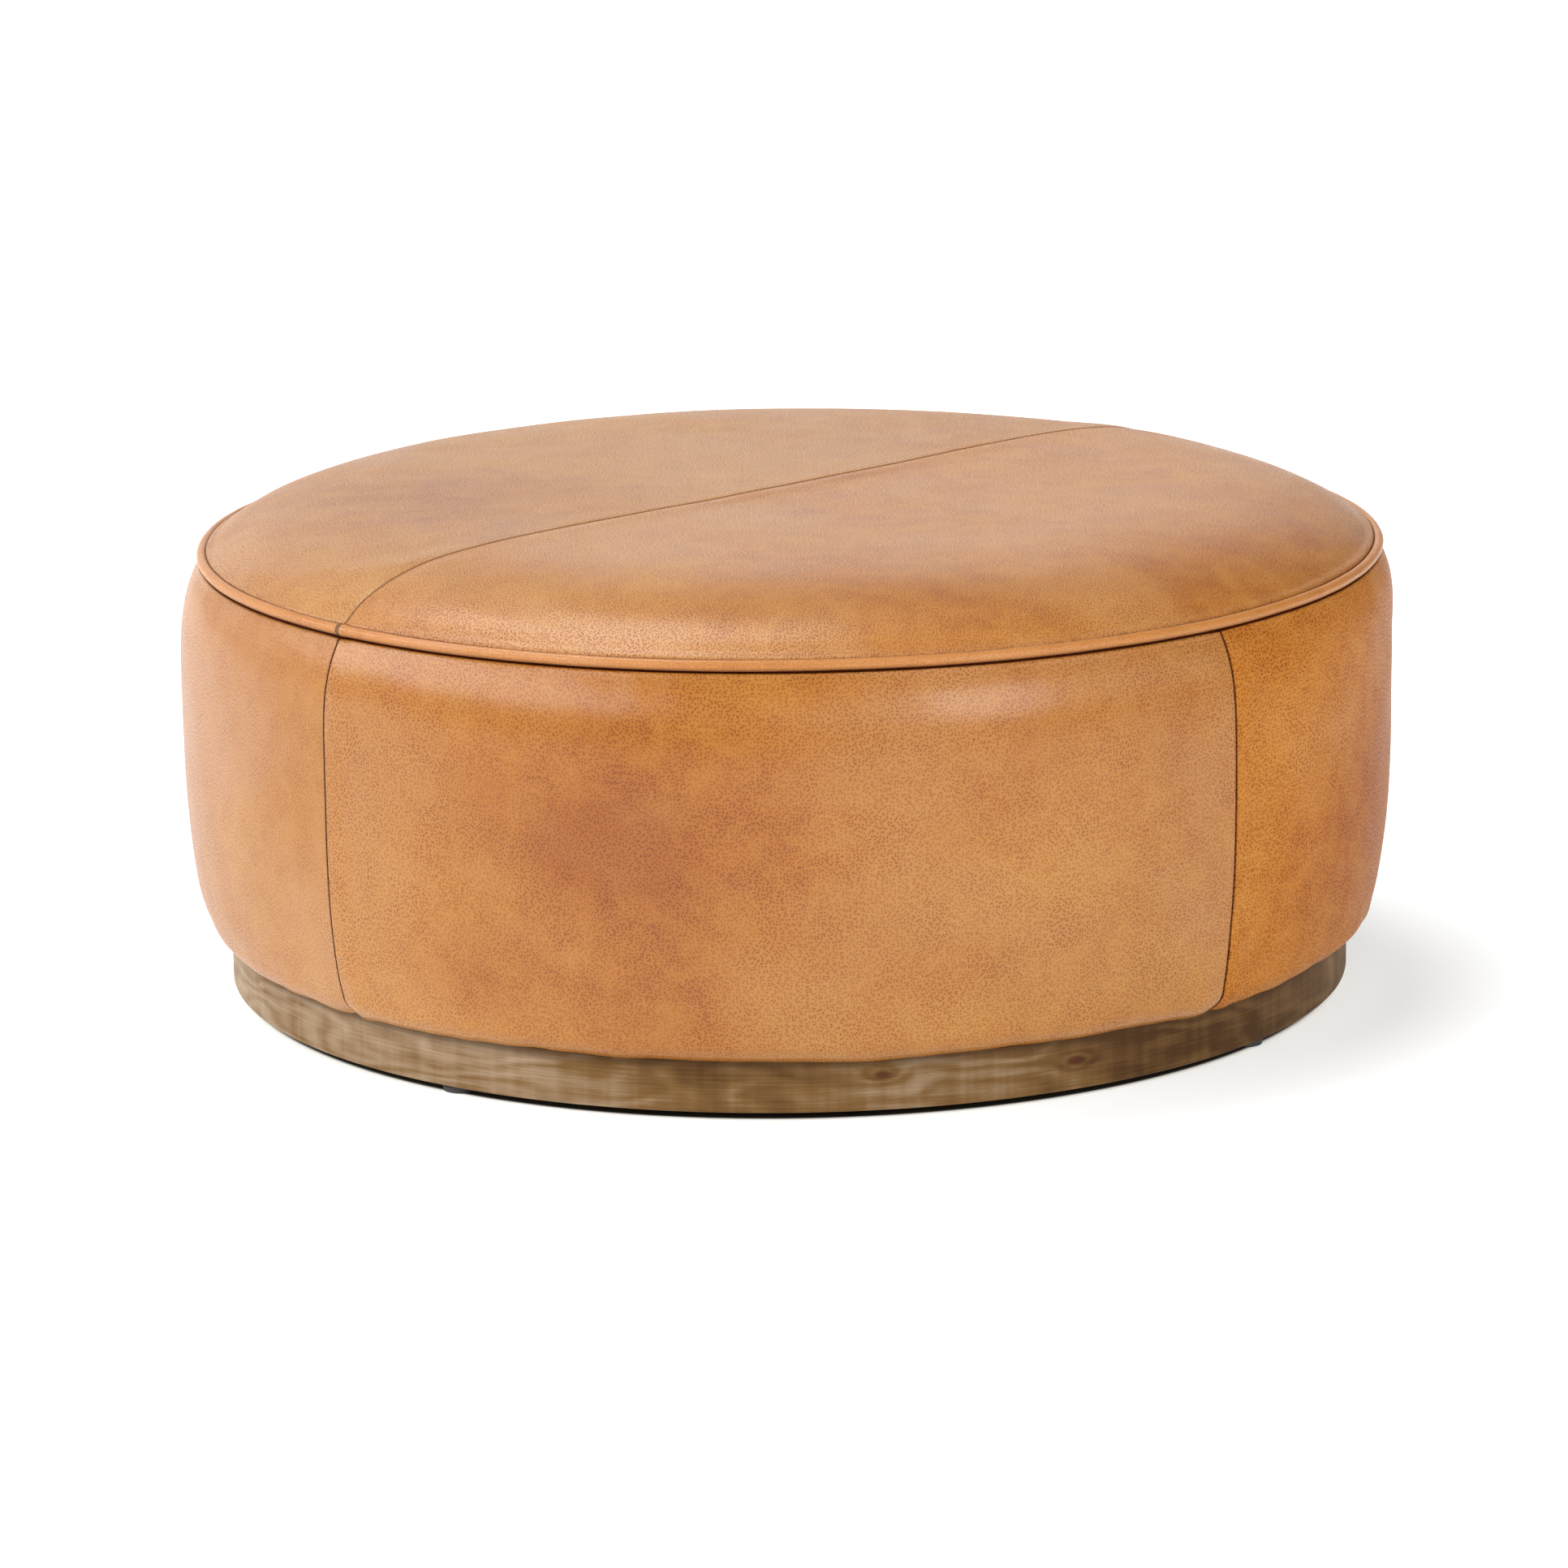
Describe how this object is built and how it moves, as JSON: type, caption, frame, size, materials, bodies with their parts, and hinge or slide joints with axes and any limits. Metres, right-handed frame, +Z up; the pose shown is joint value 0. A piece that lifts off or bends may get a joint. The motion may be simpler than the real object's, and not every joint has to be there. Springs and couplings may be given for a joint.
{
  "type": "round leather ottoman",
  "caption": "Round drum ottoman in tan leather, with a crowned piped top, a padded wall and a recessed wooden ring plinth on screw-in levelling feet.",
  "frame": {"origin": "on the floor under the centre of the drum", "axes": "+Z up along the drum's axis; the front faces -Y, with the first wall seam 46 degrees to its left"},
  "size_m": [1.0158, 1.0158, 0.414],
  "materials": {
    "leather": "pebbled, semi-matt",
    "piping_leather": "pebbled, semi-matt",
    "cord": "twisted cotton",
    "wadding": "fibre wadding",
    "foam": "open-cell foam",
    "plywood": "raw plywood",
    "pine": "planed softwood",
    "hardboard": "raw hardboard",
    "oak": "matt lacquer",
    "black_cloth": "non-woven cloth",
    "steel": "zinc plated",
    "nylon": "matt black"
  },
  "bodies": {
    "root": {"top_panel_front": "leather", "top_panel_back": "leather", "side_panel_front": "leather", "side_panel_right": "leather", "side_panel_back": "leather", "side_panel_left": "leather", "piping_cover": "piping_leather", "piping_cord": "cord", "top_batting": "wadding", "side_batting": "wadding", "top_foam": "foam", "side_foam": "foam", "deck": "plywood", "deck_screws": "steel", "wall_hoop": "hardboard", "post_1": "pine", "post_2": "pine", "post_3": "pine", "post_4": "pine", "post_5": "pine", "post_6": "pine", "post_7": "pine", "post_8": "pine", "post_screws": "steel", "rail_lower": "pine", "rail_upper": "pine", "base_board": "plywood", "dust_cover": "black_cloth", "dust_cover_staples": "steel", "plinth_veneer": "oak", "plinth_core_1": "pine", "plinth_core_2": "pine", "plinth_core_3": "pine", "plinth_core_4": "pine", "plinth_core_5": "pine", "plinth_core_6": "pine", "plinth_core_7": "pine", "plinth_core_8": "pine", "plinth_screws": "steel", "leveller_inserts": "steel"},
    "foot_1": {"leveller_pad_1": "nylon"},
    "stem_1": {"leveller_stem_1": "steel"},
    "foot_2": {"leveller_pad_2": "nylon"},
    "stem_2": {"leveller_stem_2": "steel"},
    "foot_3": {"leveller_pad_3": "nylon"},
    "stem_3": {"leveller_stem_3": "steel"},
    "foot_4": {"leveller_pad_4": "nylon"},
    "stem_4": {"leveller_stem_4": "steel"}
  },
  "joints": [
    {"name": "foot_1_travel", "type": "slide", "parent": "root", "child": "foot_1", "axis": [0, 0, -1], "range_m": [0, 0.012]},
    {"name": "stem_1_turn", "type": "hinge", "parent": "foot_1", "child": "stem_1", "pos_m": [0.36798, -0.26248, 0.003], "axis": [0, 0, -1], "range_deg": [0, 3456.5]},
    {"name": "foot_2_travel", "type": "slide", "parent": "root", "child": "foot_2", "axis": [0, 0, -1], "range_m": [0, 0.012]},
    {"name": "stem_2_turn", "type": "hinge", "parent": "foot_2", "child": "stem_2", "pos_m": [0.26248, 0.36798, 0.003], "axis": [0, 0, -1], "range_deg": [0, 3456.5]},
    {"name": "foot_3_travel", "type": "slide", "parent": "root", "child": "foot_3", "axis": [0, 0, -1], "range_m": [0, 0.012]},
    {"name": "stem_3_turn", "type": "hinge", "parent": "foot_3", "child": "stem_3", "pos_m": [-0.36798, 0.26248, 0.003], "axis": [0, 0, -1], "range_deg": [0, 3456.5]},
    {"name": "foot_4_travel", "type": "slide", "parent": "root", "child": "foot_4", "axis": [0, 0, -1], "range_m": [0, 0.012]},
    {"name": "stem_4_turn", "type": "hinge", "parent": "foot_4", "child": "stem_4", "pos_m": [-0.26248, -0.36798, 0.003], "axis": [0, 0, -1], "range_deg": [0, 3456.5]}
  ],
  "couplings": [
    {"joint": "stem_1_turn", "follows": "foot_1_travel", "rad_per_m": 5026.5},
    {"joint": "stem_2_turn", "follows": "foot_2_travel", "rad_per_m": 5026.5},
    {"joint": "stem_3_turn", "follows": "foot_3_travel", "rad_per_m": 5026.5},
    {"joint": "stem_4_turn", "follows": "foot_4_travel", "rad_per_m": 5026.5}
  ]
}
